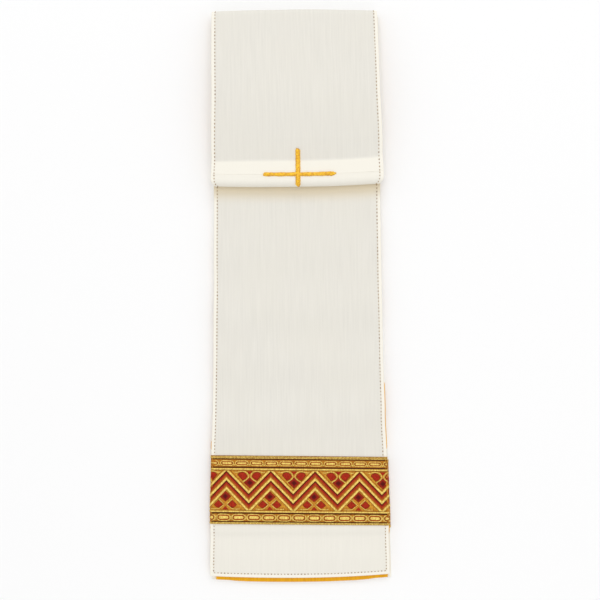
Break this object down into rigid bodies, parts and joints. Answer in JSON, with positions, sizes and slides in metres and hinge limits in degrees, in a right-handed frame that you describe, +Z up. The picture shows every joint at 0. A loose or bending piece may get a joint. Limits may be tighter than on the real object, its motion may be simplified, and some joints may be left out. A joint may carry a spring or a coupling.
{
  "type": "maniple",
  "caption": "Lined cloth band folded flat, its middle turned down as an arm loop with a seam and embroidered cross, and woven trim near each end.",
  "frame": {"origin": "middle of the bounding box, on the surface that the maniple lies on", "axes": "+X across the band, +Y along it towards the top fold, +Z up out of the surface"},
  "size_m": [0.1211, 0.3782, 0.015],
  "materials": {
    "face_cloth": "matt ivory cloth with a fine lengthwise slub",
    "lining": "gold satin",
    "galloon": "woven metallic gold with red and brown silk",
    "embroidery": "glossy gold thread, satin stitch"
  },
  "bodies": {
    "root": {"front_panel": "face_cloth", "back_panel": "face_cloth", "front_lining": "lining", "back_lining": "lining", "front_galloon": "galloon", "back_galloon": "galloon", "cross": "embroidery"}
  },
  "joints": []
}
